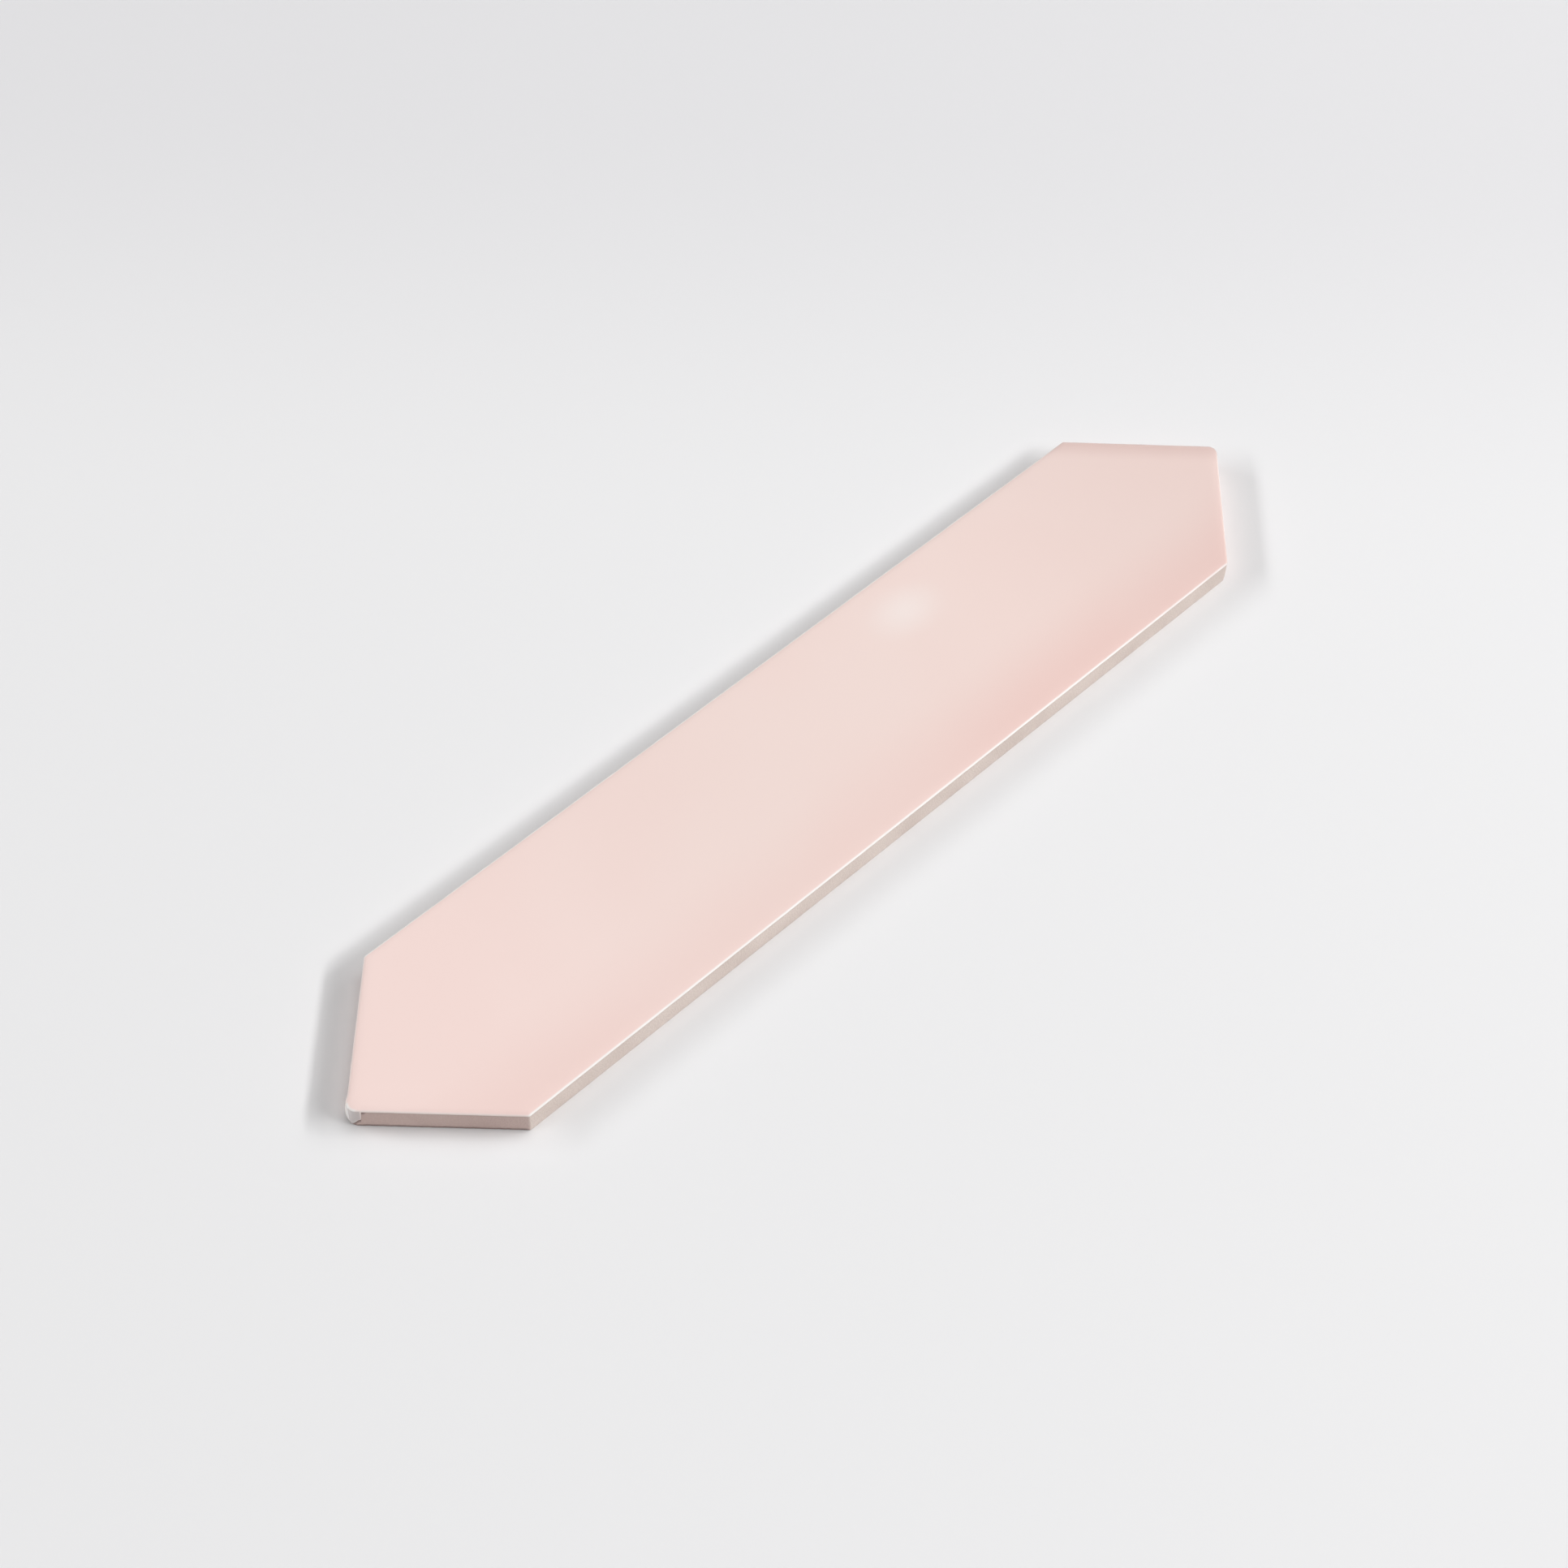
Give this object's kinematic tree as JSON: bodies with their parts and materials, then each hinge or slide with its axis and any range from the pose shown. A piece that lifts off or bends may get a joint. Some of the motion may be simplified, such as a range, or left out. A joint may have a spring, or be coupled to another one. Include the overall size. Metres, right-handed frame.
{
  "type": "picket tile",
  "caption": "Long six-sided picket wall tile with pointed ends, a glossy cushioned glazed face rolled over at the rim, bare pressed sides and a keyed back.",
  "frame": {"origin": "centre of the back, on the plane that the tile rests on", "axes": "+X along the tile from point to point, +Y across it, +Z out of the glazed face"},
  "size_m": [0.33, 0.065, 0.008],
  "materials": {
    "glazed_tile": "glossy pale pink glaze on the face and its rolled rim, over a matt beige-grey fired body that is bare on the sides and the back"
  },
  "bodies": {
    "root": {"picket_tile": "glazed_tile"}
  },
  "joints": []
}
